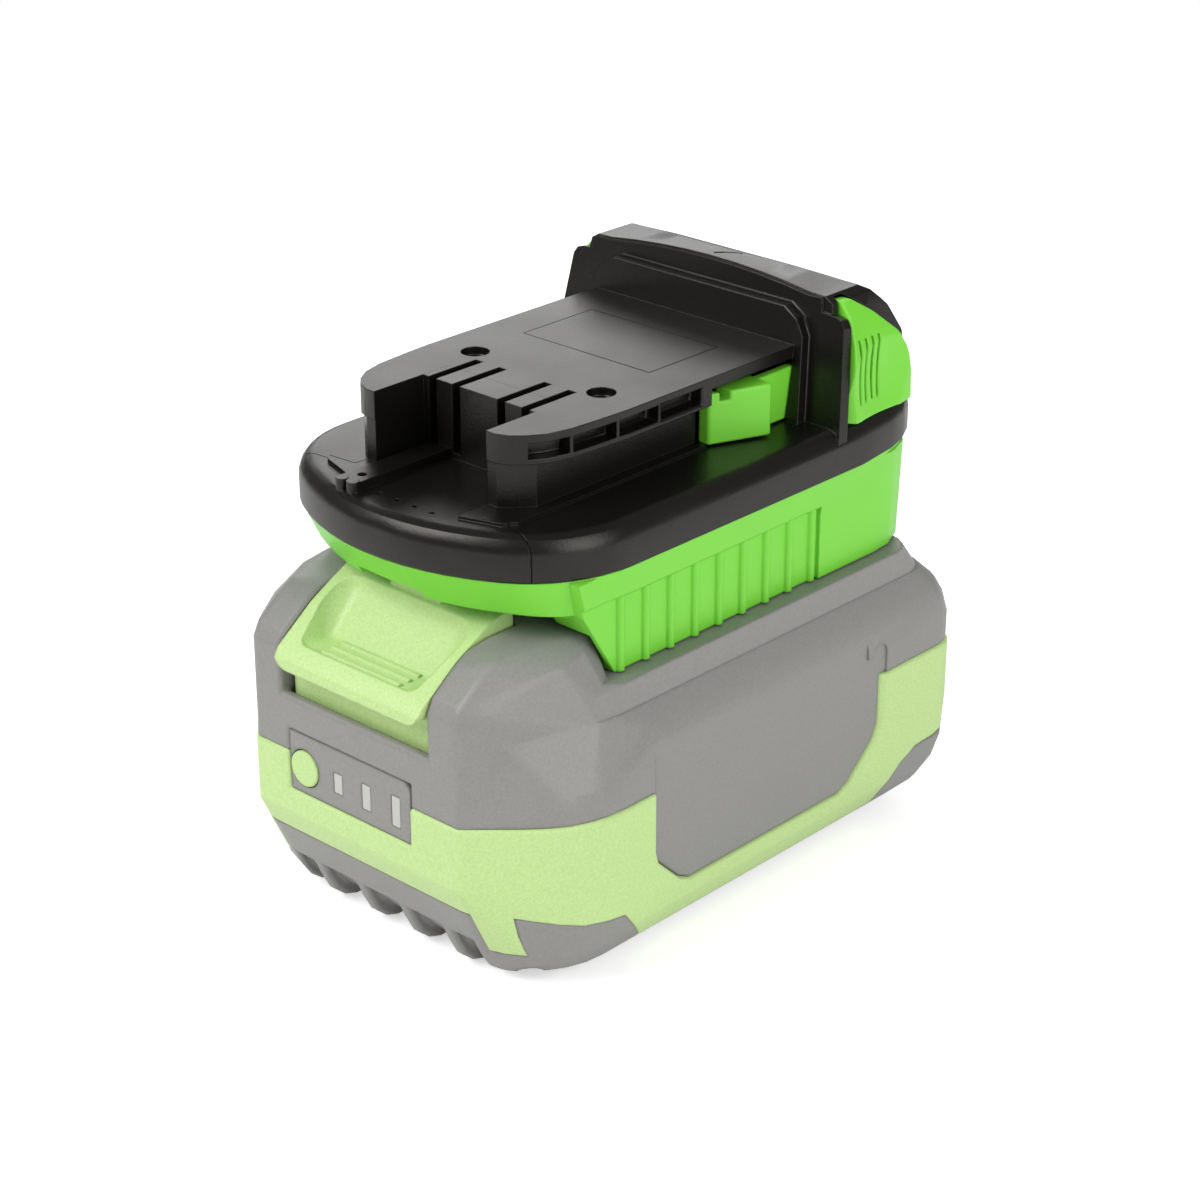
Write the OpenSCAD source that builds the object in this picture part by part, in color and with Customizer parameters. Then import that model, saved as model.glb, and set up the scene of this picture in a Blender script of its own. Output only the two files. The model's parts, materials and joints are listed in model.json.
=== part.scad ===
// Slide-on power tool battery with a tool adapter docked on its rails.
// Millimetres. Z is up, the front with latch and charge gauge faces -Y,
// and the origin is the middle of the underside.
// Every module is drawn with y measured back from the front face and is
// moved to the origin by from_front().

/* [Battery housing] */
// Width over the side band
pack_w = 80; // [79:0.5:86]
// Length from the front face to the rear wall
pack_l = 116; // [116:0.5:124]
// Height of the upper edge of the side band
band_top = 33; // [32:0.5:36]
// Thickness of the side band
band_t = 1.6; // [1.2:0.1:1.8]
// Housing wall behind the band
wall = 2.2; // [1.8:0.1:2.4]
// Radius of the front corners in plan
corner_r = 22.3; // [18:0.1:24]
// Radius of the rear corners in plan
rear_r = 6.2; // [6:0.2:9]
// Height of the ledges that the adapter skirt stands over
ledge_z = 53.3; // [52.8:0.1:56]
// Rise of the front hood above the ledges
hood_rise = 7.3; // [6.5:0.1:7.8]
// Depth of the label recess in each side
label_depth = 0.8; // [0.6:0.1:1.2]
// Width of the anti-slip ribs under the front
grip_rib_w = 2.7; // [2:0.1:3.4]
// Pitch of the anti-slip ribs
grip_pitch = 10.7; // [10:0.1:11]

/* [Battery latch and gauge] */
// Width of the battery latch
latch_w = 35; // [30:0.5:35.5]
// Travel of the battery latch
latch_travel = 4; // [3:0.5:4.5]
// Width of the charge gauge panel
gauge_w = 29.6; // [28:0.2:31]
// Height of the charge gauge panel
gauge_h = 11.2; // [10.6:0.2:12]
// Diameter of the gauge button
gauge_button_d = 6.6; // [5.5:0.1:7.2]
// Travel of the gauge button
gauge_button_travel = 0.6; // [0.4:0.1:0.8]

/* [Cells] */
// Room between the ends of the cells and the outside of the band
cell_side = 7.5; // [7.2:0.1:8]
// Cells in each row
cells_per_row = 5; // [3:1:5]
// Gap between two cells of a row
cell_gap = 0.3; // [0.2:0.05:0.5]
// Thickness of the nickel strips
strip_t = 0.2; // [0.15:0.05:0.3]

/* [Battery rails] */
// Width of the rail head
rail_head_w = 47; // [45:0.5:48]
// Width of the rail neck
rail_neck_w = 39; // [37:0.5:40]
// Height of the rail head
rail_head_h = 4.6; // [4:0.1:5]
// Height of the rail neck above the ledges
rail_neck_h = 5.2; // [4.8:0.1:5.6]
// Sliding clearance between rails and adapter
rail_gap = 0.35; // [0.25:0.05:0.5]

/* [Adapter base] */
// Width of the adapter rim
rim_w = 68.8; // [67:0.2:72]
// Length of the adapter rim
rim_l = 109; // [109:0.5:112]
// Distance from the battery front to the adapter nose
nose_back = 5.5; // [4:0.5:6]
// Radius of the adapter nose corners
nose_corner_r = 22.2; // [20:0.1:23]
// Width over the ribbed skirt
skirt_w = 66; // [64:0.5:67]
// Height from the bottom of the skirt to the black rim
base_h = 19; // [18:0.5:21]
// Pitch of the skirt ribs
skirt_pitch = 6.15; // [5.8:0.05:6.2]
// Number of skirt ribs on each side
skirt_ribs = 9; // [5:1:9]

/* [Adapter cover] */
// Height of the black rim up to the deck
rim_h = 7.8; // [7:0.1:9]
// Height of the tool rail plate above the deck
plate_h = 13.3; // [12.5:0.1:15]
// Width of the tool rail plate
plate_w = 46.8; // [45:0.2:48]
// Width of the neck under the tool rails
neck_w = 39.6; // [38:0.2:41]
// Height of the tool rail flange
flange_h = 5.1; // [4.8:0.1:5.4]
// Gap between the two prongs
prong_gap = 26.2; // [25.6:0.2:27]
// Width of the contact slots
slot_w = 1.8; // [1.5:0.1:2]
// Diameter of the two detent recesses
detent_d = 5; // [4:0.1:5.4]
// Height of the tower above the deck
tower_h = 23.6; // [23.2:0.1:25]
// Backward lean of the tower's front in degrees
tower_lean = 9.6; // [8.6:0.2:9.8]

/* [Adapter side latches] */
// Width over the two side buttons
buttons_w = 68.6; // [68:0.2:69.4]
// Inward travel of a side button
button_travel = 3; // [2:0.5:3.5]
// Thickness of the latch arm
arm_t = 1.8; // [1.6:0.1:2.4]

/* [Hidden] */
$fn = 48;
far = 300;            // longer than anything here, for cutting boxes
eps = 0.01;           // overlap of joined pieces of one solid
fit_gap = 0.3;        // between pieces that move past each other

grey = [0.59, 0.58, 0.57];
pale = [0.78, 0.92, 0.63];
green = [0.5, 0.89, 0.31];
black = [0.16, 0.155, 0.15];
steel = [0.72, 0.72, 0.7];
board_green = [0.1, 0.35, 0.2];

// Battery housing, all y from the front face
lip_out = 1.2;                        // the latch lip stands out of the front
front_flat = 24.4;                    // half width of the flat front face
step_x = 28;                          // the corner facet ends here
step_y = 4.2;
corner_x = pack_w/2 - corner_r;       // centre of the front corner arc
corner_y = 24;
break_z = 21.4;                       // below this the front turns inwards
skin = band_t + wall;                 // whole wall where the band covers it
grey_inset = 0.4;                     // the grey shell stands inside the band
lid_z = band_top;                     // the two shells meet under the band's edge
rail_z = ledge_z + rail_neck_h;       // underside of the rail head
rail_top = rail_z + rail_head_h;
hood_z = ledge_z + hood_rise;
hood_rear = 27.9;
rail_front = 25;
rail_rear = 99;

// Cells and what sits on them
row_front = 19.1;
row_rear = 4.7;
row_room = 5;                         // cells that the housing has room for in a row
cell_d = (pack_l - row_front - row_rear - cell_gap*(row_room - 1))/row_room;
cell_l = pack_w - 2*cell_side;
cell_pitch = cell_d + cell_gap;
row_y0 = row_front + cell_d/2 + cell_pitch*(row_room - cells_per_row)/2;
row_z = [5.2 + cell_d/2, 5.2 + cell_d/2 + cell_pitch];
holder_l = 8;                         // depth of a cell holder
holder_top = row_z[1] + cell_d/2 + 1.4;
holder_low = 5.4;
board_t = 1.6;
board_z = holder_top;                 // the board lies on the holders
well_floor = holder_top + 1.2;        // floor of the latch well over the cells

// Terminal block in the rear of the rails
block_w = 32;
block_front = 74;
block_low = board_z + board_t + 3.5;
clip_x = [-12, -4, 4, 12];            // places of the four clips
clip_gap = 1.2;                       // gap between the leaves of a clip
leaf_t = 0.4;
clip_front = 84;
blade_t = 0.8;

// Gauge
gauge_x = -1.4;                       // middle of the panel
gauge_z = 25.9;                       // lower edge of the panel
gauge_y = 0.5;                        // the panel face stands back
gauge_t = 1.2;
button_x = gauge_x - gauge_w/2 + 3.6;
button_z = gauge_z + 4.9;
gauge_board_y = 4.6;
button_end = gauge_board_y - 0.6 - gauge_button_travel;

// Screws, M3
screw_d = 2.9;
head_d = 5.2;
head_h = 2;
screw_x = 27.5;
screw_front = 14.2;
screw_seat = 13;                      // underside of the head above the floor
screw_tip = 41;

// Adapter levels
base_z = ledge_z + fit_gap;           // the skirt runs just above the ledges
base_top = base_z + base_h;
deck_z = base_top + rim_h;
plate_z = deck_z + plate_h;
tower_z = deck_z + tower_h;
flange_z = base_top - 7;              // underside of the nose
bay_floor = flange_z + 2;
cover_wall = 2.5;
nose_y = nose_back;
rim_rear = nose_back + rim_l;
rim_hw = rim_w/2;
nose_cy = nose_y + 25.5;              // centres of the nose corner arcs
nose_cx = rim_hw - nose_corner_r;
// Radius of the nose arc that touches both corner arcs
nose_d = nose_cy - nose_y;
nose_r = (nose_cx*nose_cx + nose_d*nose_d - nose_corner_r*nose_corner_r)
    / (2*(nose_d - nose_corner_r));
lean = 0.62;                          // slant of the skirt's front edge
skirt_y = 22;                         // skirt front edge under the rim
skirt_recess = 0.8;
skirt_wall_x = 31.2;                  // inner face of the skirt beside the hood
skirt_rib_r = 0.9;
skirt_rib_y0 = 30.7;

// Tool side of the adapter
prong_y = 19.7;
bay_y = 31;
slot_end = 42.2;
slot_x = [-10.9, -5.3, 5.3, 10.9];
rail_end = 63.1;                      // the wide rail ends here
lip_t = 2.2;
thin_neck = 31;                       // neck beside the hooks
detent_x = 14.8;
detent_y = 45;
panel_y = 82.5;
flange_y = 84.7;
flange_t = 2.3;
tower_y = flange_y + flange_t;
dome_rear = 112.5;

// Side latches of the adapter
btn_y = tower_y + 0.5;
btn_rear = 105.9;
btn_z = deck_z + fit_gap;
btn_top = 21.6;                       // height of a side button
btn_in = 26.8;                        // inner face of a side button
arm_z = 9.6;                          // height of the latch arm
hook_y = 63.8;
hook_l = 11.5;
spring_d = 5;
wire_d = 0.6;
spring_seat = 16;
adapter_spring_z = deck_z + 10;
adapter_spring_y = 97;

module from_front() {
    translate([0, -(pack_l - lip_out)/2, 0]) children();
}

module both() {
    children();
    mirror([1, 0, 0]) children();
}

// Points of an arc, in n steps
function arc(cx, cy, r, a0, a1, n) =
    [for (i = [0:n]) [cx + r*cos(a0 + (a1 - a0)*i/n), cy + r*sin(a0 + (a1 - a0)*i/n)]];
// Mirror image of a point list across x = 0, in reverse order
function back_to_front(p) = [for (i = [len(p) - 1:-1:0]) [-p[i][0], p[i][1]]];

// Plan of a rounded body: half width, front, rear, front and rear corner radius
function plan(hw, yf, yr, rf, rr) = let(right = concat(
    arc(hw - rf, yf + rf, rf, -90, 0, 7), arc(hw - rr, yr - rr, rr, 0, 90, 4)))
    concat(right, back_to_front(right));

// Plan of the battery at band height with the flat front and stepped corners
function band_plan(i) = let(right = concat(
    [[front_flat, i], [step_x - i*0.3, step_y + i*0.6]],
    arc(corner_x, corner_y, corner_r - i, -56, 0, 6),
    arc(pack_w/2 - rear_r, pack_l - rear_r, rear_r - i, 0, 90, 4)))
    concat(right, back_to_front(right));

module slab(z, pts, t = eps) {
    translate([0, 0, z]) linear_extrude(t) polygon(pts);
}

// Profile in Y and Z drawn as [y, z], extruded along X from x0 to x1
module side_profile(x0, x1, pts) {
    translate([x0, 0, 0]) rotate([90, 0, 90]) linear_extrude(x1 - x0) polygon(pts);
}

// Profile in X and Z drawn as [x, z], extruded back along Y from y0 to y1
module front_profile(y0, y1, pts) {
    translate([0, y1, 0]) rotate([90, 0, 0]) linear_extrude(y1 - y0) polygon(pts);
}

module block(x, y, z) {
    translate([x[0], y[0], z[0]]) cube([x[1] - x[0], y[1] - y[0], z[1] - z[0]]);
}

// Coil spring along Z: mean radius r, from z = 0 to z = h
module coil(r, h, turns, wire) {
    steps = 12;
    sides = 6;
    n = turns*steps;
    lead = (h - wire)/turns;
    function at(i) = [r*cos(360*i/steps), r*sin(360*i/steps), wire/2 + lead*i/steps];
    pts = [for (i = [0:n]) for (k = [0:sides - 1])
        let(a = 360*i/steps, b = 360*k/sides)
        at(i) + wire/2*[cos(a)*cos(b), sin(a)*cos(b), sin(b)]];
    side_faces = [for (i = [0:n - 1]) for (k = [0:sides - 1]) for (t = [0, 1])
        let(k2 = (k + 1) % sides, p = i*sides + k, q = i*sides + k2)
        t == 0 ? [p, q, q + sides] : [p, q + sides, p + sides]];
    first = [for (k = [1:sides - 2]) [0, k + 1, k]];
    last = [for (k = [1:sides - 2]) [n*sides, n*sides + k, n*sides + k + 1]];
    polyhedron(points = pts, faces = concat(side_faces, first, last));
}

// Battery housing

// Body under the shell joint: straight above, turned in and rounded below
module lower_body(i) {
    hull() {
        slab(break_z, band_plan(i), lid_z - break_z);
        slab(14, plan(pack_w/2 - i, 4.6 + i, pack_l - 0.8 - i, 20 - i, rear_r - i));
        slab(9.6, plan(pack_w/2 - 0.9 - i, 5.5 + i, pack_l - 2 - i, 19 - i, rear_r - i));
        slab(5.8, plan(pack_w/2 - 2.7 - i, 6.8 + i, pack_l - 4.2 - i, 18 - i, rear_r - i));
        slab(2.6, plan(pack_w/2 - 6 - i, 8.5 + i, pack_l - 7 - i, 16 - i, rear_r - i));
        slab(0.8, plan(pack_w/2 - 9.3 - i, 10.6 + i, pack_l - 9.8 - i, 13 - i, 8 - i));
        slab(0, plan(pack_w/2 - 12.6 - i, 13 + i, pack_l - 13 - i, 10 - i, 10 - i));
    }
}

// Side view of the zone that the band covers
band_side = [[-2, 16.5], [6, 16.3], [16, 13.7], [24, 13], [32.5, 3], [91.5, 3], [96.5, 9.4],
    [99.4, 12.6], [103, 14.6], [pack_l + 2, 15], [pack_l + 2, lid_z + 2], [-2, lid_z + 2]];
// Side view of the label recess
label_side = [[31.6, lid_z + 3], [31.6, 21.8], [32.3, 19.6], [37.8, 14.4], [40.6, 13],
    [81, 13], [84.2, 14.2], [90.8, 20.2], [92.2, 23.2], [92.2, lid_z + 3]];

module band_zone() {
    side_profile(-far/2, far/2, band_side);
    // strips running down from the band at the front corners
    both() block([24.6, 30.6], [-2, 14], [7.5, 17]);
}

// The same, grown at the bottom and rear for the bevel
label_bevel = [[31.3, lid_z + 3], [31.3, 21.7], [32, 19.4], [37.6, 14], [40.5, 12.3],
    [81.5, 12], [85.2, 13.2], [92, 19.4], [93.9, 23], [93.9, lid_z + 3]];

module label_windows(x0) {
    both() {
        side_profile(x0, far, label_side);
        hull() {
            side_profile(pack_w/2 - label_depth, pack_w/2 - label_depth + eps, label_side);
            side_profile(pack_w/2 + 0.3, pack_w/2 + 0.4, label_bevel);
        }
    }
}

module gauge_recess() {
    block([gauge_x - gauge_w/2 - 0.1, gauge_x + gauge_w/2 + 0.1], [-5, gauge_y + gauge_t],
        [gauge_z - 0.1, gauge_z + gauge_h + 0.1]);
}

// Holes through the front wall for the button stem and the three light pipes
light_x = [-4.3, 2.65, 9.85];
light_h = [3.7, 4.7, 5.6];
light_w = 2;
module gauge_holes(clear) {
    translate([button_x, -5, button_z]) rotate([-90, 0, 0])
        cylinder(d = gauge_button_d - 2 + 2*clear, h = 12);
    for (k = [0:2]) block([light_x[k] - light_w/2 - clear, light_x[k] + light_w/2 + clear],
        [-5, 7], [button_z - light_h[k]/2 - clear, button_z + light_h[k]/2 + clear]);
}

module side_band() color(pale) from_front() {
    difference() {
        intersection() {
            lower_body(0);
            band_zone();
        }
        lower_body(band_t);
        label_windows(pack_w/2 - 10);
        gauge_recess();
    }
}

module screw_places() {
    both() translate([screw_x, screw_front, 0]) children();
}

// Fin under the front: a plate cut to the outline, pockets lie between them
module grip_pockets() {
    reach = front_flat - 2.4;
    rib_x = [-1.5*grip_pitch, -0.5*grip_pitch, 0.5*grip_pitch, 1.5*grip_pitch];
    edges = concat([-reach], [for (x = rib_x) each [x - grip_rib_w/2, x + grip_rib_w/2]],
        [reach]);
    for (k = [0:4]) {
        w = edges[2*k + 1] - edges[2*k];
        translate([edges[2*k], 5.4, -2.4]) rotate([90, 0, 90])
            linear_extrude(w) polygon([[-6, 4], [-1.2, 11.5], [2.3, 11], [3.6, 8.2], [5.8, 5.8],
                [9.5, 4.4], [13.6, 3.9], [15.6, 2], [15.6, -1], [-6, -1]]);
    }
}

// Space for the cells with the eight-sided screw bosses left standing
module cell_space() {
    difference() {
        hull() {
            slab(lid_z + 1, plan(pack_w/2 - skin, skin + 1.6, pack_l - skin, 17, rear_r - skin));
            slab(10, plan(pack_w/2 - skin - 0.3, 8.2, pack_l - skin - 0.1, 17, 5));
            slab(wall + 1.6, plan(pack_w/2 - 7.5, 12, pack_l - 8, 10, 6));
        }
        screw_places() translate([0, 0, -1]) rotate([0, 0, 22.5])
            cylinder(d = head_d + 2, h = far, $fn = 8);
    }
}

module lower_shell() color(grey) from_front() {
    difference() {
        union() {
            difference() {
                lower_body(0);
                // seat of the band, also behind the label
                difference() {
                    band_zone();
                    lower_body(band_t);
                }
                cell_space();
                grip_pockets();
            }
        }
        screw_places() {
            translate([0, 0, -1]) cylinder(d = head_d + 0.3, h = screw_seat + 1);
            cylinder(d = screw_d + 0.3, h = far);
        }
        gauge_recess();
        gauge_holes(0.25);
        gauge_board_space();
    }
}

// Front of the bumper's upper edge, where the wall of the hood rises from it
shoulder_z = 48;
shoulder_hw = pack_w/2 - 4;
bumper_nose = [[28, 6.4], [30.3, 10.8], [shoulder_hw - 0.7, 22.6], [shoulder_hw, 27]];

// Plan that starts with given points at the front and has a rounded rear
function nosed_plan(nose, hw, yr, rr) = let(right = concat(nose, arc(hw - rr, yr - rr, rr, 0, 90, 4)))
    concat(right, back_to_front(right));

// Profile of the hood at the edge of its front face
hood_side = [[grey_inset, lid_z], [grey_inset, 51.9], [1.7, 54.4], [6, 57.7], [9.4, 59.8],
    [14.4, hood_z], [hood_rear, hood_z], [hood_rear, ledge_z - 1], [hood_rear, lid_z]];

// Corner of the hood: a facet, and a wall that leans out down to the bumper
module hood_corner() {
    hull() {
        side_profile(front_flat - eps, front_flat, hood_side);
        side_profile(28, 28 + eps, [[4.4, lid_z], [4.4, 51.7], [5.4, 53.2], [8.7, 56.4],
            [12.4, 58], [23, hood_z - 0.1], [hood_rear, hood_z - 0.3], [hood_rear, lid_z]]);
        side_profile(31, 31 + eps, [[18, lid_z], [18, 58], [23.6, 58.8],
            [27, ledge_z], [27, lid_z]]);
        slab(shoulder_z - 0.4, concat([[front_flat, 3]], [for (p = bumper_nose) p - [0.04, 0]],
            [[shoulder_hw - 0.04, hood_rear - 0.9], [front_flat, hood_rear - 0.9]]));
    }
}

module upper_body() {
    // bumper tier: straight over the band, then sloping in to the shoulder
    hull() {
        slab(lid_z, band_plan(grey_inset), 5.2);
        slab(42.3, plan(pack_w/2 - 1.1, 27, pack_l - 1, 4, rear_r));
        slab(45, plan(pack_w/2 - 2.1, 27, pack_l - 2.2, 4, rear_r));
        slab(shoulder_z - eps, nosed_plan(bumper_nose, shoulder_hw, pack_l - 5, rear_r));
    }
    // ledge tier
    hull() {
        slab(shoulder_z - 1.5, nosed_plan([[28, 8], [shoulder_hw - 0.1, 27]], shoulder_hw - 0.1,
            pack_l - 4.2, rear_r));
        slab(ledge_z - eps, nosed_plan([[28, 20], [shoulder_hw - 0.3, 27.4]], shoulder_hw - 0.3,
            pack_l - 9.6, rear_r));
    }
    // hood
    side_profile(-front_flat, front_flat, hood_side);
    both() hood_corner();
    // rails
    block([-rail_neck_w/2, rail_neck_w/2], [rail_front, rail_rear], [ledge_z - 1, rail_z + eps]);
    block([-rail_head_w/2, rail_head_w/2], [rail_front + 5, rail_rear], [rail_z, rail_top]);
}

// Opening of the latch in the hood and the well that it travels in
module latch_well() {
    hw = latch_w/2 + fit_gap;
    block([-hw, hw], [-5, 9.2], [43.5, far]);
    block([-hw, hw], [3, 21.5], [well_floor, far]);
    block([-hw, hw], [grey_inset + 2, 9.2], [35.8, far]);
}

module upper_shell() color(grey) from_front() {
    difference() {
        union() {
            difference() {
                upper_body();
                // cell space and board space
                slab(0, plan(pack_w/2 - 5.4, 18, pack_l - skin, 3, 4), holder_top + 0.1);
                block([-pack_w/2 + 7, pack_w/2 - 7], [26, pack_l - 8.2], [1, ledge_z - 2.3]);
            }
            // plates behind the label, hung from the side walls
            both() side_profile(pack_w/2 - band_t, pack_w/2 - label_depth,
                [for (p = label_side) [p[0] + (p[0] < 60 ? 0.1 : -0.1),
                    p[1] > lid_z ? lid_z + 1 : p[1] + 0.1]]);
        }
        // label recess in the wall over the band, with a round end at the rear
        both() {
            block([pack_w/2 - label_depth, far], [31.6, 93.9], [lid_z - 1, 37.2]);
            block([pack_w/2 - label_depth, far], [31.6, 88.4], [37, 40.6]);
            translate([pack_w/2 - label_depth, 92, 37.2]) rotate([0, 90, 0])
                cylinder(r = 1.9, h = 10);
        }
        latch_well();
        gauge_recess();
        gauge_holes(0.25);
        gauge_board_space();
        screw_places() translate([0, 0, lid_z - 1]) cylinder(d = screw_d, h = 10);
        // pocket of the terminal block in the rails, open to the rear
        block([-block_w/2 - 0.1, block_w/2 + 0.1], [block_front, rail_rear + eps],
            [ledge_z - 5, far]);
    }
}

// Battery latch

module battery_latch() color(pale) from_front() {
    hw = latch_w/2;
    difference() {
        union() {
            // rim plate following the slope of the hood
            side_profile(-hw, hw, [[-lip_out, 49.2], [-lip_out, 51], [0, 52.6], [7.6, 58.2],
                [12, 60.6], [16, 62.6], [20.8, 63.6], [20.8, 57], [14, 53.4], [8, 50],
                [4.6, 49.2]]);
            // skirt that runs down behind the front wall
            block([-hw + 0.6, hw - 0.6], [grey_inset + 2.4, 5.4], [40.4, 50]);
            // guide ribs towards the well
            for (x = [-hw + 0.6, hw - 2.6]) block([x, x + 2], [5, 8.8], [40.4, 52]);
            // tooth that stands in the open catch of the adapter
            side_profile(-6, 6, [[15.5, 60], [15.5, 64.6], [18.5, 66.6], [20.8, 66.6],
                [20.8, 60]]);
        }
        // finger dish with a low floor and a rounded back
        hull() for (s = [-1, 1]) {
            translate([s*12, 6.6, 55.4]) sphere(r = 2.4, $fn = 20);
            translate([s*12, 2.9, 55.2]) sphere(r = 2.2, $fn = 20);
            translate([s*11.6, 10, 62.4]) sphere(r = 4.8, $fn = 20);
            translate([s*12, 2, 64]) sphere(r = 2.2, $fn = 20);
        }
        // rounded lower corners of the lip
        both() difference() {
            block([hw - 3, hw + 1], [-3, 2.4], [45, 52.2]);
            translate([hw - 3, -4, 52.2]) rotate([-90, 0, 0]) cylinder(r = 3, h = 8);
        }
        // seats of the two springs
        for (x = [-8, 8]) translate([x, 14, 40]) cylinder(d = spring_d + 0.8, h = 14.6);
    }
    // grip ribs in the dish
    for (y = [2.8, 5, 7.2]) translate([-9.5, y, 53]) rotate([0, 90, 0])
        cylinder(r = 0.5, h = 19, $fn = 16);
}

module latch_springs() color(steel) from_front() {
    for (x = [-8, 8]) translate([x, 14, well_floor])
        coil((spring_d - wire_d)/2, 54.6 - well_floor, 6, wire_d);
}

// Charge gauge

module gauge_panel() color(grey*0.95) from_front() {
    difference() {
        front_profile(gauge_y, gauge_y + gauge_t, [
            [gauge_x - gauge_w/2, gauge_z], [gauge_x + gauge_w/2, gauge_z],
            [gauge_x + gauge_w/2, gauge_z + gauge_h - 1.2],
            [gauge_x + gauge_w/2 - 1.2, gauge_z + gauge_h],
            [gauge_x - gauge_w/2, gauge_z + gauge_h]]);
        translate([button_x, -5, button_z]) rotate([-90, 0, 0])
            cylinder(d = gauge_button_d + 0.4, h = 12);
        gauge_holes(0.05);
    }
}

module gauge_button() color(green*0.9 + [0.08, 0.08, 0.12]) from_front() {
    translate([button_x, 0.2, button_z]) rotate([-90, 0, 0]) {
        cylinder(d = gauge_button_d, h = 0.8);
        cylinder(d = gauge_button_d - 2.2, h = button_end - 0.2);
    }
}

module gauge_dome() color("white") from_front() {
    translate([button_x, button_end, button_z]) rotate([-90, 0, 0])
        cylinder(d1 = 1.6, d2 = 3.2, h = gauge_board_y - button_end);
}

module gauge_light_pipes() color([0.88, 0.9, 0.88]) from_front() {
    for (k = [0:2]) block([light_x[k] - light_w/2, light_x[k] + light_w/2],
        [gauge_y - 0.05, gauge_board_y],
        [button_z - light_h[k]/2, button_z + light_h[k]/2]);
}

module gauge_board() color(board_green) from_front() {
    block([-17, 14], [gauge_board_y, gauge_board_y + 1.2], [25, lid_z + 1.2]);
}

// Space of the gauge board in both shells
module gauge_board_space() {
    block([-17.3, 14.3], [gauge_board_y - 0.1, gauge_board_y + 3], [24.9, lid_z + 1.4]);
}

// Cells and electrics of the battery

module cell_row(z) {
    for (k = [0:cells_per_row - 1]) translate([-cell_l/2, row_y0 + cell_pitch*k, z])
        rotate([0, 90, 0]) {
            difference() {
                cylinder(d = cell_d, h = cell_l);
                // groove under the crimped rim
                translate([0, 0, cell_l - 4]) difference() {
                    cylinder(d = cell_d + 1, h = 1.2);
                    cylinder(d = cell_d - 1, h = 1.2);
                }
            }
        }
}

module cells_lower_row() color([0.16, 0.42, 0.6]) from_front() cell_row(row_z[0]);

module cells_upper_row() color([0.16, 0.42, 0.6]) from_front() cell_row(row_z[1]);

// Holder of the cell ends, drawn on the +X side
module cell_holder() {
    difference() {
        intersection() {
            side_profile(cell_l/2 - holder_l, cell_l/2 - eps, [[23.2, holder_low],
                [pack_l - 10.6, holder_low], [pack_l - 4, 10.4], [pack_l - 4, holder_top],
                [18.2, holder_top],
                [18.2, 10.4]]);
            // follows the rounded corners of the housing
            slab(0, plan(pack_w/2 - skin - 0.3, 10, pack_l - skin - 0.2, 17, 5), far);
        }
        screw_places() cylinder(d = head_d + 2.6, h = far);
        for (z = row_z) for (k = [0:cells_per_row - 1])
            translate([0, row_y0 + cell_pitch*k, z]) rotate([0, 90, 0])
                cylinder(d = cell_d + 0.2, h = far);
    }
}

module cell_holder_right() color([0.2, 0.2, 0.2]) from_front() cell_holder();

module cell_holder_left() color([0.2, 0.2, 0.2]) from_front() mirror([1, 0, 0]) cell_holder();

// Nickel strip on the cell ends from column a to column b, with a tab to the board
module strip(a, b, tab) {
    y0 = row_y0 + cell_pitch*a - 4;
    y1 = row_y0 + cell_pitch*b + 4;
    x = [cell_l/2, cell_l/2 + strip_t];
    for (z = row_z) block(x, [y0, y1], [z - 4, z + 4]);
    for (k = [a:b]) block(x, [row_y0 + cell_pitch*k - 3, row_y0 + cell_pitch*k + 3],
        [row_z[0], row_z[1]]);
    y = row_y0 + cell_pitch*tab;
    block(x, [y - 2, y + 2], [row_z[1], board_z + 0.6]);
}

last = cells_per_row - 1;

module nickel_strips_right() color(steel) from_front() {
    for (a = [0:2:last]) strip(a, min(a + 1, last), a);
}

module nickel_strips_left() color(steel) from_front() mirror([1, 0, 0]) {
    strip(0, 0, 0);
    for (a = [1:2:last]) strip(a, min(a + 1, last), a);
}

module battery_board() color(board_green) from_front() {
    difference() {
        block([-cell_l/2, cell_l/2], [30, pack_l - 12], [board_z, board_z + board_t]);
        for (x = clip_x) block([x - 1, x + 1], [clip_front + 1, clip_front + 4],
            [board_z - 1, board_z + 3]);
    }
}

module terminal_block() color([0.2, 0.2, 0.2]) from_front() {
    difference() {
        block([-block_w/2, block_w/2], [block_front + 0.1, rail_rear - 1],
            [block_low, rail_top - fit_gap]);
        for (x = clip_x) {
            // slot for the blade, open to the rear and the top
            block([x - clip_gap/2 - leaf_t - 0.1, x + clip_gap/2 + leaf_t + 0.1],
                [clip_front - 1, far], [block_low + 1.6, far]);
            // passage of the clip's leg
            block([x - 1, x + 1], [clip_front + 1, clip_front + 4], [block_low - 1, far]);
        }
    }
}

// Clips: two leaves joined by a leg that stands in the board
module battery_terminals() color([0.8, 0.62, 0.32]) from_front() {
    for (x = clip_x) {
        for (s = [-1, 1]) {
            c = x + s*(clip_gap + leaf_t)/2;
            block([c - leaf_t/2, c + leaf_t/2], [clip_front, rail_rear - 4],
                [block_low + 1.8, rail_top - 1.5]);
        }
        block([x - clip_gap/2 - eps, x + clip_gap/2 + eps], [clip_front, rail_rear - 4],
            [block_low + 1.8, block_low + 2.4]);
        block([x - 0.7, x + 0.7], [clip_front + 1.2, clip_front + 3.8],
            [board_z, block_low + 2]);
    }
}

module housing_screws() color(steel) from_front() {
    screw_places() difference() {
        union() {
            cylinder_from(screw_seat - head_h, screw_seat, head_d);
            cylinder_from(screw_seat - eps, screw_tip, screw_d);
        }
        // star recess
        translate([0, 0, screw_seat - head_h - 0.8]) cylinder(d = 2.4, h = 2.2, $fn = 6);
    }
}

module cylinder_from(z0, z1, d) {
    translate([0, 0, z0]) cylinder(d = d, h = z1 - z0);
}

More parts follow.
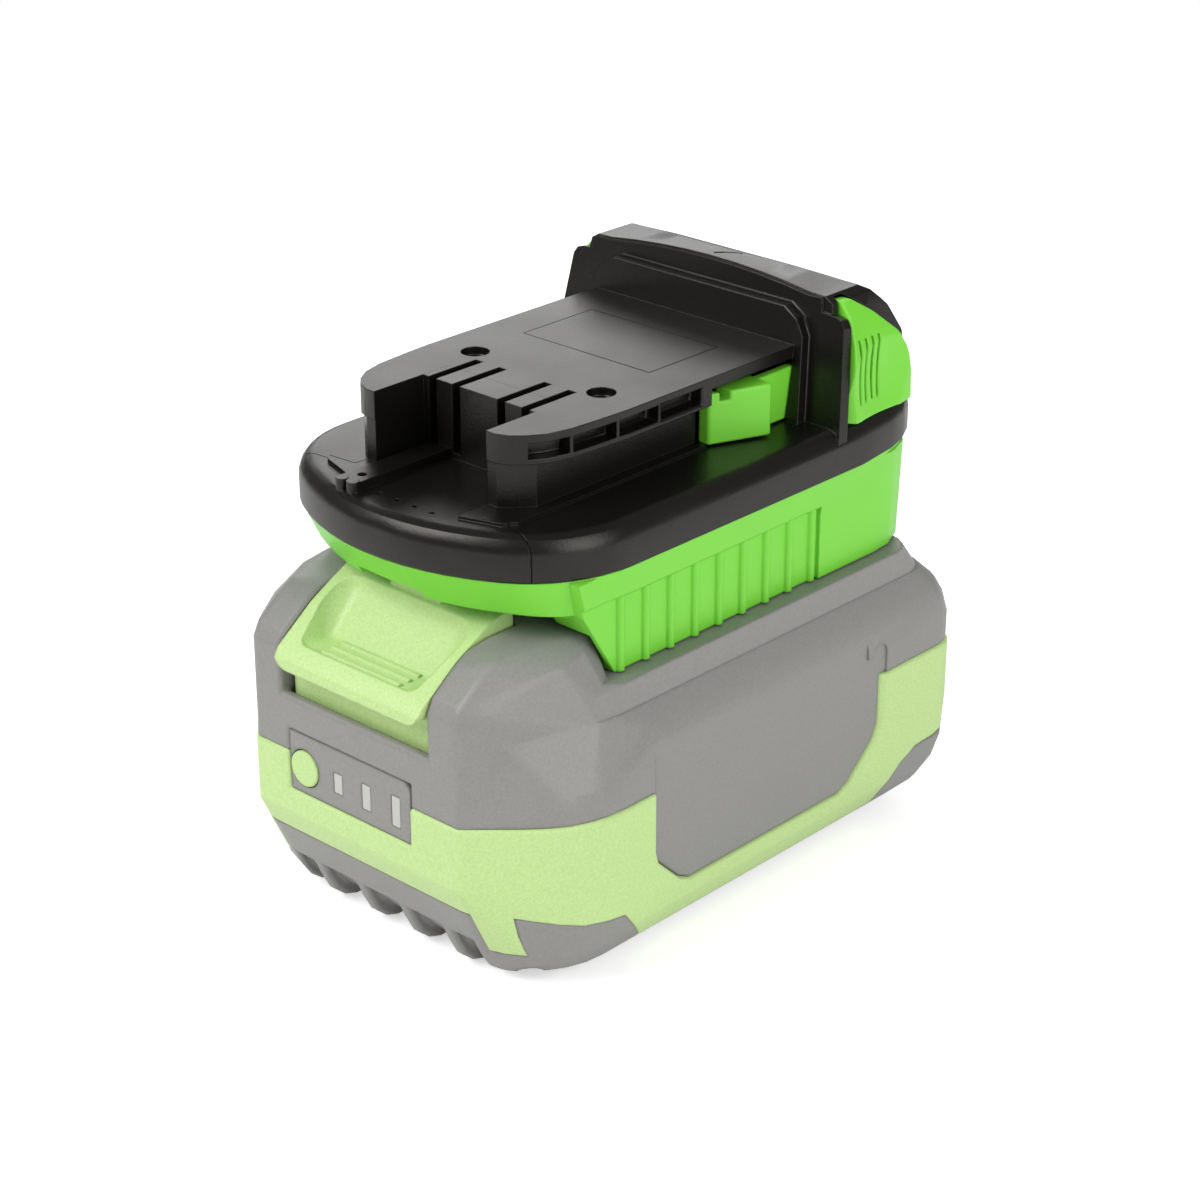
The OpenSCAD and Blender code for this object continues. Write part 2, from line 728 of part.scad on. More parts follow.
// Adapter base

// Plan of the adapter rim, inset by i: bowed nose, straight sides, rounded rear
function rim_points(i) = let(
    turn = atan2(nose_cy - nose_y - nose_r, nose_cx),
    right = concat(
        arc(0, nose_y + nose_r, nose_r - i, -90 + 0.5*(90 + turn)/5, turn, 5),
        [for (k = [1:8]) let(a = turn*(8 - k)/8)
            [nose_cx + (nose_corner_r - i)*cos(a), nose_cy + (nose_corner_r - i)*sin(a)]],
        [[rim_hw - i, 91], [rim_hw - 1.3 - i, 101], [rim_hw - 2.6 - i, 106],
        [rim_hw - 4.8 - i*0.8, 110.2], [rim_hw - 7.8 - i*0.5, rim_rear - 1.2 - i],
        [rim_hw - 11.6 - i*0.3, rim_rear - i]]))
    concat(right, back_to_front(right));

module rim_plan(i) {
    polygon(rim_points(i));
}

module rim_slab(z, i, t = eps) {
    translate([0, 0, z]) linear_extrude(t) rim_plan(i);
}

module adapter_skirt() {
    hw = skirt_w/2;
    intersection() {
        side_profile(-hw - 2, hw + 2, [[skirt_y - 2, base_top - 0.3], [skirt_y, flange_z],
            [skirt_y + (flange_z - base_z)*lean, base_z], [rim_rear - 4.6, base_z],
            [rim_rear - 3.6, base_z + 2], [rim_rear - 2.2, base_top - 0.3]]);
        union() {
            block([-hw, hw], [skirt_y - 3, 92], [base_z - 1, base_top]);
            hull() {
                slab(base_z - 1, [[-hw, 91], [hw, 91], [hw, 97], [hw - 0.5, 102],
                    [hw - 2.6, 107], [hw - 7, 110], [-hw + 7, 110], [-hw + 2.6, 107],
                    [-hw + 0.5, 102], [-hw, 97]]);
                slab(base_top - 1, [[-hw, 91], [hw, 91], [hw, 98], [hw - 0.6, 103],
                    [hw - 2.6, 108], [hw - 6.4, 111.4], [hw - 10.5, rim_rear - 2],
                    [-hw + 10.5, rim_rear - 2], [-hw + 6.4, 111.4], [-hw + 2.6, 108],
                    [-hw + 0.6, 103], [-hw, 98]]);
            }
        }
    }
}

module adapter_screw_places() {
    both() for (y = [36, 96]) translate([28.3, y, 0]) children();
}

module adapter_base() color(green) from_front() {
    hw = skirt_w/2;
    last_y = skirt_rib_y0 + skirt_pitch*(skirt_ribs - 1);
    difference() {
        union() {
            // flange under the rim, tapering in below
            hull() {
                rim_slab(base_top - eps, 0.3);
                slab(flange_z, [for (p = rim_points(4.6))
                    p[1] < 92 ? [p[0]*hw/(rim_hw - 4.6), p[1]] : p]);
            }
            adapter_skirt();
            // the ribbed panel's vertical ribs stand in the recess
        }
        // recess of the ribbed panel
        both() difference() {
            side_profile(hw - skirt_recess, hw + 3, [[21.2, 67.3], [19, 64.6], [19, base_z - 1],
                [last_y + 1.5, base_z - 1], [last_y + 1.5, 67.3]]);
            for (k = [0:skirt_ribs - 1])
                translate([hw - skirt_recess - 0.1, skirt_rib_y0 + skirt_pitch*k, base_z - 2])
                    cylinder(r = skirt_rib_r, h = 30, $fn = 24);
        }
        // rail channel
        nw = rail_neck_w/2 + rail_gap;
        rw = rail_head_w/2 + rail_gap;
        rear = rail_rear + 1;
        block([-nw, nw], [-1, rear], [base_z - 1, rail_top]);
        block([-rw, rw], [-1, rear], [rail_z - rail_gap, rail_top + rail_gap]);
        // open catch for the tooth of the battery latch
        block([-7.5, 7.5], [-1, 21.8], [base_z - 1, 67]);
        // room over the hood
        block([-skirt_wall_x, skirt_wall_x], [-1, 29.4], [50, hood_z + 1]);
        // latch passage under the nose
        block([-18, 18], [-1, 21.8], [50, 65.6]);
        // bay of the circuit board
        difference() {
            translate([0, 0, bay_floor]) linear_extrude(20) rim_plan(5);
            adapter_screw_places() translate([0, 0, bay_floor - 1]) cylinder(d = 6.6, h = 30);
            block([-9, 9], [0, 14], [60, 90]);
        }
        // slots of the two blades
        for (x = [-12, 12]) block([x - 0.8, x + 0.8], [clip_front - 0.3, 96.3], [60, 80]);
        // screws from below
        adapter_screw_places() {
            translate([0, 0, base_z - 1]) cylinder(d = head_d + 0.3, h = 61.2 - base_z);
            cylinder(d = screw_d + 0.3, h = far);
        }
    }
}

module adapter_screws() color(steel) from_front() {
    adapter_screw_places() difference() {
        union() {
            cylinder_from(60.2 - head_h, 60.2, head_d);
            cylinder_from(60.2 - eps, 76.4, screw_d);
        }
        translate([0, 0, 60.2 - head_h - 1]) cylinder(d = 2.4, h = 2.2, $fn = 6);
    }
}

// Adapter cover

// Plan of one rail half, inset by i, with the outer edge bending in to the prong tip
function rail_plan(i) = [[prong_gap/2, prong_y], [15 - i*0.4, prong_y + i],
    [17.4 - i*0.5, prong_y + 0.9 + i*0.9], [19.5 - i*0.7, prong_y + 2.9 + i*0.7],
    [21.3 - i*0.85, prong_y + 5.7 + i*0.5], [22.5 - i*0.95, prong_y + 10.1 + i*0.2],
    [23 - i, prong_y + 15.8], [plate_w/2 - i, prong_y + 22.3],
    [plate_w/2 - i, rail_end], [prong_gap/2, rail_end]];

// Rail plate: the prongs, the wide rails and the thin lips behind them
module rail_plate() {
    hw = plate_w/2;
    fz = plate_z - flange_h;
    both() slab(fz, rail_plan(0), flange_h);
    // thin lips beside the hooks
    block([-hw, hw], [rail_end - 1, panel_y + 3], [plate_z - lip_t, plate_z]);
    // neck under the rails
    both() slab(deck_z - 1, [[prong_gap/2, prong_y + 0.1], [15.2, prong_y + 0.1],
        [17.5, prong_y + 1.6], [neck_w/2, prong_y + 4.6], [neck_w/2, rail_end],
        [prong_gap/2, rail_end]], plate_h);
    block([-neck_w/2, neck_w/2], [bay_y, rail_end], [deck_z - 1, plate_z - eps]);
    block([-hw + 1, hw - 1], [detent_y - 8, rail_end], [plate_z - 1, plate_z]);
    block([-thin_neck/2, thin_neck/2], [rail_end - 1, panel_y + 3], [deck_z - 1, plate_z - eps]);
    // low pads that the rails stand on
    both() slab(deck_z - 1, [[prong_gap/2, prong_y - 6.6], [20.6, prong_y - 4.2],
        [22, prong_y - 2], [22, rail_end + 0.3], [prong_gap/2, rail_end + 0.3]], 1.6);
}

// Windows in the rail flange sides with thin ribs left standing
module rail_windows() {
    both() difference() {
        intersection() {
            block([14, far], [prong_y + 3, rail_end - 2.6], [plate_z - 4.2, plate_z - 1.4]);
            slab(plate_z - 5, rail_plan(-1), 5);
        }
        slab(plate_z - 6, rail_plan(2.6), 6);
        for (k = [1:3]) block([14, far], [prong_y + 10.1*k - 0.3, prong_y + 10.1*k + 0.3],
            [plate_z - 5, plate_z]);
    }
}

// The tower leans back: children are drawn upright over its foot
module leaning() {
    translate([0, flange_y, deck_z]) rotate([-tower_lean, 0, 0])
        translate([0, -flange_y, -deck_z]) children();
}

// Side view of a side button, grown by g
function button_side(g) = [[btn_y - g, btn_z - g], [btn_rear + 0.3 + g, btn_z - g],
    [btn_rear + g, btn_z + 5.4], [104.3 + g, btn_z + 10.4 + g], [101.7 + g, btn_z + 13.8 + g],
    [96.5 + g*0.6, btn_z + 18.3 + g], [92.6, btn_z + btn_top - 0.6 + g],
    [90.7 - g, btn_z + btn_top - 0.6 + g]];

// Tower behind the plate: stepped panel, flange and dome
module tower() {
    z1 = plate_z;
    leaning() {
        // raised panel in front of the flange
        front_profile(panel_y, flange_y + 0.5, [[-26.4, deck_z - 1], [26.4, deck_z - 1],
            [24.8, z1 + 1.6], [23, z1 + 4.6], [20, z1 + 6.4], [-20, z1 + 6.4],
            [-23, z1 + 4.6], [-24.8, z1 + 1.6]]);
        // flange plate that runs down over the rim, bowed at the top
        front_profile(flange_y, tower_y, concat([[-34.2, deck_z - 2.2], [34.2, deck_z - 2.2],
            [31.8, tower_z - 5.8], [31, tower_z - 4.6], [29.8, tower_z - 4.2],
            [26.6, tower_z - 4], [26.2, tower_z - 1.5]],
            arc(0, tower_z - 168.4, 168.4, 82, 98, 8),
            [[-26.2, tower_z - 1.5], [-26.6, tower_z - 4], [-29.8, tower_z - 4.2],
            [-31, tower_z - 4.6], [-31.8, tower_z - 5.8]]));
    }
    // dome: a bowed outline, cut by the slope of the rear and the rounded plan
    intersection() {
        front_profile(tower_y - 1, dome_rear, concat([[-30, deck_z - 0.5], [30, deck_z - 0.5],
            [28.7, tower_z - 5], [28.2, tower_z - 2.6], [26.6, tower_z - 1.7]],
            arc(0, tower_z - 168.4, 168.4, 82, 98, 8),
            [[-26.6, tower_z - 1.7], [-28.2, tower_z - 2.6], [-28.7, tower_z - 5]]));
        side_profile(-32, 32, [[tower_y - 1.4, deck_z - 0.5], [tower_y + 2, tower_z - 0.5],
            [tower_y + 2.2, tower_z + 0.6], [92, tower_z], [96, tower_z - 0.6],
            [99.6, tower_z - 2.6], [104, tower_z - 6.2], [107.6, tower_z - 11.2],
            [110.6, tower_z - 16.6], [dome_rear, deck_z + 3], [dome_rear, deck_z - 0.5]]);
        slab(deck_z - 1, plan(30.5, 70, dome_rear, 2, 9), 40);
    }
}

// Pocket of one side button and the passage of its arm, drawn on the +X side
module button_pocket() {
    side_profile(btn_in - button_travel - fit_gap, far, button_side(fit_gap));
    block([18.2, 21.5 + arm_t + fit_gap], [flange_y - 4, btn_y + 4.5],
        [deck_z, deck_z + arm_z + 0.9]);
    block([18.2, btn_in], [btn_y + 1.4, btn_y + 4.5], [deck_z, deck_z + arm_z + 0.9]);
}

module adapter_cover() color(black) from_front() {
    difference() {
        union() {
            // rim with a rounded upper edge
            hull() {
                rim_slab(base_top, 0);
                rim_slab(deck_z - 3, 0);
                rim_slab(deck_z - 1.6, 0.45);
                rim_slab(deck_z - 0.65, 1.2);
                rim_slab(deck_z - 0.15, 2.2);
                rim_slab(deck_z - eps, 3.1);
            }
            rail_plate();
            tower();
            // key bar in front of the bay
            block([-11.6, -6.8], [9.6, bay_y + 1], [deck_z - 1, deck_z + 1.7]);
            for (x = [-10.5, -7.9]) translate([x, 9.6, deck_z - 1]) cylinder(d = 2.2, h = 2.8,
                $fn = 24);
        }
        // underside opening over the circuit board
        difference() {
            translate([0, 0, base_top - 1]) linear_extrude(rim_h - cover_wall + 1)
                rim_plan(cover_wall + 1.5);
            adapter_screw_places() translate([0, 0, base_top - 1]) cylinder(d = 7, h = 10);
        }
        adapter_screw_places() translate([0, 0, base_top - 1]) cylinder(d = screw_d, h = 5.4);
        // bay between the prongs keeps its floor, the front of the plate stays open
        block([-prong_gap/2, prong_gap/2], [0, bay_y], [deck_z + 1.9, far]);
        // contact slots
        for (x = slot_x) block([x - slot_w/2, x + slot_w/2], [bay_y - 1, slot_end],
            [deck_z + 1, far]);
        // passages of the contact legs
        for (x = slot_x) block([x - slot_w/2, x + slot_w/2], [38, slot_end],
            [base_top, deck_z + 2]);
        rail_windows();
        // round detent recesses
        both() translate([detent_x, detent_y, plate_z - 1.6])
            cylinder(d = detent_d, h = 5);
        both() button_pocket();
        // spring bores towards the side buttons
        both() translate([spring_seat - fit_gap, adapter_spring_y, adapter_spring_z])
            rotate([0, 90, 0]) cylinder(d = spring_d + 0.5, h = 20);
        // four small moulding holes and the hole in the key bar
        for (x = [-4.1, 0, 4.1, 8.2]) translate([x, 12, deck_z - 0.8]) cylinder(d = 0.9, h = 3,
            $fn = 16);
        translate([-9, 12.8, deck_z + 0.6]) cylinder(d = 1.6, h = 3, $fn = 24);
        // dash on the crown
        translate([1.5, 92.5, tower_z - 0.8]) rotate([0, 0, 50]) translate([-2.6, -0.3, 0])
            cube([5.2, 0.6, 4]);
    }
}

// Side latch of the adapter, drawn on the +X side
module adapter_latch() {
    outer = buttons_w/2;
    b = btn_y;
    difference() {
        // button: its outer face leans in towards the top
        intersection() {
            side_profile(btn_in, outer + 1, button_side(0));
            front_profile(80, 110, [[btn_in - 1, btn_z - 1], [outer, btn_z - 1],
                [outer - 0.3, btn_z + 9], [outer - 1.4, btn_z + 14], [outer - 3.2, btn_z + 18],
                [outer - 5.4, btn_z + 20.6], [btn_in - 1, btn_z + 20.9]]);
            // the front edge is chamfered more towards the top
            translate([0, 0, btn_z - 1]) linear_extrude(40) polygon([[btn_in - 1, b],
                [outer - 2.4, b], [outer + 0.2, b + 2], [outer + 0.2, 98],
                [outer - 1.4, btn_rear + 1], [btn_in - 1, btn_rear + 1]]);
        }
        // shallow dish with four grip grooves
        translate([outer + 38.4, 98, btn_z + 8.4]) rotate([0, 8, 0]) sphere(r = 40,
            $fn = 96);
        for (y = [91, 92.8, 94.6, 96.4]) block([outer - 2.7, outer + 1], [y - 0.25, y + 0.25],
            [btn_z + 3, btn_z + 14.4]);
        // seat of the spring
        translate([btn_in - 1, adapter_spring_y, adapter_spring_z]) rotate([0, 90, 0])
            cylinder(d = spring_d + 0.5, h = 2.2);
    }
    // arm that runs forward beside the neck
    block([21.5, 21.5 + arm_t], [75, b + 4.2], [btn_z, deck_z + arm_z]);
    block([21.5, btn_in + 1], [b + 1.7, b + 4.2], [btn_z, deck_z + arm_z]);
    // hook with a notch in its upper edge
    difference() {
        translate([0, 0, btn_z]) linear_extrude(arm_z - fit_gap) polygon([[19.7, hook_y],
            [22, hook_y + 0.2], [26, hook_y + hook_l - 1.6], [26.4, hook_y + hook_l],
            [20.6, hook_y + hook_l + 1]]);
        block([15, 30], [hook_y + 2.2, hook_y + 4], [deck_z + arm_z - 1.6, far]);
    }
}

module adapter_latch_right() color(black*1.1) from_front() adapter_latch();

module adapter_latch_left() color(black*1.1) from_front() mirror([1, 0, 0]) adapter_latch();

module adapter_spring() {
    translate([spring_seat - fit_gap, adapter_spring_y, adapter_spring_z]) rotate([0, 90, 0])
        coil((spring_d - wire_d)/2, btn_in + 1.2 - spring_seat + fit_gap, 7, wire_d);
}

module adapter_spring_right() color(steel) from_front() adapter_spring();

module adapter_spring_left() color(steel) from_front() mirror([1, 0, 0]) adapter_spring();

// Electrics of the adapter

module adapter_board() color(board_green) from_front() {
    difference() {
        block([-24.5, 24.5], [20, 104], [bay_floor, bay_floor + board_t]);
        for (x = [-12, 12]) block([x - 0.5, x + 0.5], [86, 94], [bay_floor - 1, bay_floor + 3]);
    }
}

// Parts on the board: choke, capacitors, converter chip and small parts
module adapter_components() color([0.3, 0.3, 0.32]) from_front() {
    z = bay_floor + board_t;
    translate([0, 60, z]) difference() {
        union() {
            block([-6, 6], [-6, 6], [0, 1.2]);
            cylinder(d = 10, h = 6);
            block([-6, 6], [-6, 6], [5.4, 6.6]);
        }
        translate([0, 0, 5]) cylinder(d = 3, h = 3);
    }
    for (x = [-17, 17]) translate([x, 72, z]) {
        cylinder(d = 8, h = 7);
        block([-4.2, 4.2], [-4.2, 4.2], [0, 0.8]);
    }
    block([-16, -8], [48, 54], [z, z + 1.6]);
    for (k = [0:5]) block([-15.6 + 1.3*k, -15 + 1.3*k], [47, 55], [z, z + 0.5]);
    for (x = [8, 11, 14, 17]) block([x, x + 1.6], [50, 53.2], [z, z + 1]);
}

module adapter_blades() color([0.8, 0.62, 0.32]) from_front() {
    for (x = [-12, 12]) block([x - blade_t/2, x + blade_t/2], [clip_front, 96],
        [base_z + 2.6, bay_floor - 0.3]);
    for (x = [-12, 12]) block([x - blade_t/2, x + blade_t/2], [86.2, 93.8],
        [bay_floor - 1, bay_floor + board_t + 1]);
}

module tool_contacts() color([0.8, 0.62, 0.32]) from_front() {
    for (x = slot_x) {
        // a leaf on each wall of the slot and a leg to the board
        for (s = [-1, 1]) block([x + s*(slot_w/2 - 0.3) - 0.15, x + s*(slot_w/2 - 0.3) + 0.15],
            [34, 41.8], [deck_z + 1.2, plate_z - 1.5]);
        block([x - slot_w/2 + 0.2, x + slot_w/2 - 0.2], [38.2, 41.8],
            [bay_floor + board_t, deck_z + 1.6]);
    }
}

lower_shell();
upper_shell();
side_band();
battery_latch();
latch_springs();
gauge_panel();
gauge_button();
gauge_dome();
gauge_light_pipes();
gauge_board();
cells_lower_row();
cells_upper_row();
cell_holder_left();
cell_holder_right();
nickel_strips_left();
nickel_strips_right();
battery_board();
terminal_block();
battery_terminals();
housing_screws();
adapter_base();
adapter_cover();
adapter_latch_left();
adapter_latch_right();
adapter_spring_left();
adapter_spring_right();
adapter_board();
adapter_components();
adapter_blades();
tool_contacts();
adapter_screws();
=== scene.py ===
"""Dresses a slide-on tool battery and the tool adapter docked on it."""

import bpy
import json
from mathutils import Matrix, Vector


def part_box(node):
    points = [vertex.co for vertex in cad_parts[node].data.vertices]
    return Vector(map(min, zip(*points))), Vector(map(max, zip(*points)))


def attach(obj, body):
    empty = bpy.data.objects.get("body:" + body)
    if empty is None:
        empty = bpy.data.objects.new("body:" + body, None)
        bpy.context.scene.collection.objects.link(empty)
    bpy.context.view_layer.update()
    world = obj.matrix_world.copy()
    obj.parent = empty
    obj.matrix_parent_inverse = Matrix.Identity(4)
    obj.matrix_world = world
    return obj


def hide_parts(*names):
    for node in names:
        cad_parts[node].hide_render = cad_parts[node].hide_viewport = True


bl_info = {
    "name": "Tool battery with adapter",
    "version": (1, 0, 0),
    "blender": (4, 5, 0),
    "location": "View3D > Sidebar > Tool battery",
    "description": "Finishes the mouldings of a slide-on tool battery and its adapter",
    "category": "Object",
}

import json
import math

import bmesh
import bpy
from bpy.props import FloatProperty, FloatVectorProperty, PointerProperty
from bpy.types import Operator, Panel, PropertyGroup
from mathutils import Vector
from mathutils.bvhtree import BVHTree
from mathutils.kdtree import KDTree

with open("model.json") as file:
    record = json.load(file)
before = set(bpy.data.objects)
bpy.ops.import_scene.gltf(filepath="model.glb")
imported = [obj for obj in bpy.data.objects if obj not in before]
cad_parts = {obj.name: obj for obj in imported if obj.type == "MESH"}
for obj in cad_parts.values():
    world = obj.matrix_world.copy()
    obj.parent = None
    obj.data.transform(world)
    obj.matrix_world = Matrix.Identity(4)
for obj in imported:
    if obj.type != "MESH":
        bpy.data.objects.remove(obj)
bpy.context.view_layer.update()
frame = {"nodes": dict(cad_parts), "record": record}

MM = 0.001
# Depths are measured from the front face of the band
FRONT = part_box("side_band")[0].y


def from_photo(red, green, blue):
    """A colour read off a screen, 0 to 255, as scene light."""

    def light(value):
        share = value / 255
        return share / 12.92 if share <= 0.04045 else ((share + 0.055) / 1.055) ** 2.4

    return light(red), light(green), light(blue)


# Sizes and colours that a user may change


class BatteryColours(PropertyGroup):
    """Colours of the mouldings."""

    housing: FloatVectorProperty(
        name="Housing",
        description="Grey plastic of the battery's shells",
        subtype="COLOR",
        min=0,
        max=1,
        default=from_photo(131, 130, 128),
    )
    band: FloatVectorProperty(
        name="Band",
        description="Pale green plastic of the band, the latch and the gauge button",
        subtype="COLOR",
        min=0,
        max=1,
        default=from_photo(179, 207, 137),
    )
    adapter: FloatVectorProperty(
        name="Adapter base",
        description="Bright green plastic of the adapter's base and side buttons",
        subtype="COLOR",
        min=0,
        max=1,
        default=from_photo(115, 205, 56),
    )
    cover: FloatVectorProperty(
        name="Adapter cover",
        description="Black plastic of the adapter's cover",
        subtype="COLOR",
        min=0,
        max=1,
        default=from_photo(15, 14, 12),
    )
    light: FloatVectorProperty(
        name="Gauge light",
        description="Milky plastic of the three gauge lights",
        subtype="COLOR",
        min=0,
        max=1,
        default=from_photo(176, 178, 172),
    )


class BatterySizes(PropertyGroup):
    """Roundings and grain of the mouldings."""

    edge: FloatProperty(
        name="Moulded edge",
        description="Radius that the edges of the mouldings are shaded with",
        default=0.5 * MM,
        min=0.05 * MM,
        max=1.5 * MM,
        unit="LENGTH",
    )
    rounding: FloatProperty(
        name="Rounding",
        description="Width of the real roundings of the mouldings, where there is room",
        default=0.6 * MM,
        min=0.1 * MM,
        max=1.5 * MM,
        unit="LENGTH",
    )
    seam: FloatProperty(
        name="Seam",
        description="Width of the parting lines of the black cover",
        default=0.22 * MM,
        min=0.1 * MM,
        max=0.5 * MM,
        unit="LENGTH",
    )
    grain: FloatProperty(
        name="Grain",
        description="Size of one grain of the textured plastic",
        default=0.45 * MM,
        min=0.1 * MM,
        max=2 * MM,
        unit="LENGTH",
    )
    grain_depth: FloatProperty(
        name="Grain depth",
        description="Depth of the textured plastic's grain",
        default=0.06 * MM,
        min=0,
        max=0.2 * MM,
        unit="LENGTH",
    )


def colours():
    return bpy.context.scene.battery_colours


def sizes():
    return bpy.context.scene.battery_sizes


# Finishes

PLASTIC_IOR = 1.47
# The plastics reflect the studio a little warmer than it is
PLASTIC_TINT = (1, 0.95, 0.9, 1)
# Waves a metre of the unevenness in the gloss of plastic and of metal
PLASTIC_CLOUDS = 55
METAL_CLOUDS = 400
# Nearly all of a noise lies between these
NOISE_LOW = 0.3
NOISE_HIGH = 0.7
# The share by which the colour strays either way, on grained and on smooth plastic
GRAINED_MOTTLE = 0.2
SMOOTH_MOTTLE = 0.04
# How far roughness strays either way on plastic, and down and up on metal
PLASTIC_STRAY = 0.03
METAL_STRAY = (0.05, 0.08)
GRAIN_STRENGTH = 0.6
EDGE_SAMPLES = 6


def shader_of(name):
    """A new material with its node tree's links and its Principled shader."""
    material = bpy.data.materials.new(name)
    material.use_nodes = True
    tree = material.node_tree
    return material, tree, tree.nodes["Principled BSDF"]


def noise(tree, scale, detail=2, roughness=0.5):
    """Noise over the piece's own coordinates."""
    place = tree.nodes.new("ShaderNodeTexCoord")
    made = tree.nodes.new("ShaderNodeTexNoise")
    made.inputs["Scale"].default_value = scale
    made.inputs["Detail"].default_value = detail
    made.inputs["Roughness"].default_value = roughness
    tree.links.new(place.outputs["Object"], made.inputs["Vector"])
    return made


def spread(tree, value, low, high):
    """Maps a noise between two values."""
    made = tree.nodes.new("ShaderNodeMapRange")
    made.inputs["From Min"].default_value = NOISE_LOW
    made.inputs["From Max"].default_value = NOISE_HIGH
    made.inputs["To Min"].default_value = low
    made.inputs["To Max"].default_value = high
    tree.links.new(value, made.inputs["Value"])
    return made.outputs["Result"]


def soft_edges(tree, shader, radius):
    """Lets a finish shade sharp edges as if they were rounded."""
    edge = tree.nodes.new("ShaderNodeBevel")
    edge.samples = EDGE_SAMPLES
    edge.inputs["Radius"].default_value = radius
    tree.links.new(edge.outputs["Normal"], shader.inputs["Normal"])
    return edge.outputs["Normal"]


def moulded_plastic(name, colour, roughness, radius, grain=None, depth=0):
    """Moulded plastic with soft edges, a fine grain and a slightly uneven gloss."""
    material, tree, shader = shader_of(name)
    shader.inputs["IOR"].default_value = PLASTIC_IOR
    shader.inputs["Specular Tint"].default_value = PLASTIC_TINT
    normal = soft_edges(tree, shader, radius)
    cloud = noise(tree, PLASTIC_CLOUDS)
    speck = cloud
    if grain:
        speck = noise(tree, 1 / grain, detail=3, roughness=0.6)
        bump = tree.nodes.new("ShaderNodeBump")
        bump.inputs["Strength"].default_value = GRAIN_STRENGTH
        bump.inputs["Distance"].default_value = depth
        tree.links.new(normal, bump.inputs["Normal"])
        tree.links.new(speck.outputs["Fac"], bump.inputs["Height"])
        tree.links.new(bump.outputs["Normal"], shader.inputs["Normal"])
    mottle = GRAINED_MOTTLE if grain else SMOOTH_MOTTLE
    mix = tree.nodes.new("ShaderNodeMix")
    mix.data_type = "RGBA"
    mix.inputs["A"].default_value = (*(channel * (1 - mottle) for channel in colour), 1)
    mix.inputs["B"].default_value = (*(channel * (1 + mottle) for channel in colour), 1)
    tree.links.new(speck.outputs["Fac"], mix.inputs["Factor"])
    tree.links.new(mix.outputs["Result"], shader.inputs["Base Color"])
    low = roughness - PLASTIC_STRAY
    high = roughness + PLASTIC_STRAY
    gloss = spread(tree, cloud.outputs["Fac"], low, high)
    tree.links.new(gloss, shader.inputs["Roughness"])
    return material


def worn_metal(name, colour, roughness):
    """Metal with fine wear in its gloss."""
    material, tree, shader = shader_of(name)
    shader.inputs["Base Color"].default_value = (*colour, 1)
    shader.inputs["Metallic"].default_value = 1
    cloud = noise(tree, METAL_CLOUDS)
    down, up = METAL_STRAY
    gloss = spread(tree, cloud.outputs["Fac"], roughness - down, roughness + up)
    tree.links.new(gloss, shader.inputs["Roughness"])
    return material


def metal(colour, roughness):
    """A maker of metal."""
    return lambda name: worn_metal(name, colour, roughness)


def grained(colour, roughness, softness=1):
    """A maker of grained plastic. Its softness widens or narrows the soft edges."""
    return lambda name: moulded_plastic(
        name,
        colour(),
        roughness,
        softness * sizes().edge,
        sizes().grain,
        sizes().grain_depth,
    )


def smooth(colour, roughness, softness=1):
    """A maker of smooth plastic. Its softness widens or narrows the soft edges."""
    return lambda name: moulded_plastic(
        name, colour(), roughness, softness * sizes().edge
    )


# Parting lines of the black cover in plan, as distances from the middle and the front
SEAMS = (
    ((-31.5, 15.9), (-15.6, 17.2)),
    ((-15.6, 17.2), (-15.4, 19.9)),
    ((20.2, 16.6), (29.5, 14.6)),
)
# The bare label field on the tool plate, by its left front and right rear corners
LABEL = ((-15.4, 57.5), (14.2, 75.0))
# The sides of a parting line slope between these shares of its width
SEAM_SLOPE = (0.3, 0.7)
# Its depth, as a share of its width
SEAM_DEPTH = 0.3
# The cover's shine beside its parting lines and in them
COVER_SHINE = 0.5
SEAM_SHINE = 0.05


def plan_point(point):
    """A point of the frame from a distance off the middle and one off the front."""
    return Vector((point[0] * MM, FRONT + point[1] * MM, 0))


def vector_math(tree, operation, *values):
    """A vector node with a link or a constant at its first inputs."""
    made = tree.nodes.new("ShaderNodeVectorMath")
    made.operation = operation
    for socket, value in zip(made.inputs, values):
        if isinstance(value, bpy.types.NodeSocket):
            tree.links.new(value, socket)
        else:
            socket.default_value = value
    return made


def plan_gap(tree, place, start, end):
    """How far a place lies from a straight stretch, seen from above."""
    run = end - start
    offset = vector_math(tree, "SUBTRACT", place, start).outputs["Vector"]
    along = vector_math(tree, "DOT_PRODUCT", offset, run.normalized())
    held = tree.nodes.new("ShaderNodeClamp")
    held.inputs["Max"].default_value = run.length
    tree.links.new(along.outputs["Value"], held.inputs["Value"])
    foot = vector_math(tree, "SCALE", run.normalized())
    tree.links.new(held.outputs["Result"], foot.inputs["Scale"])
    gap = vector_math(tree, "DISTANCE", offset, foot.outputs["Vector"])
    return gap.outputs["Value"]


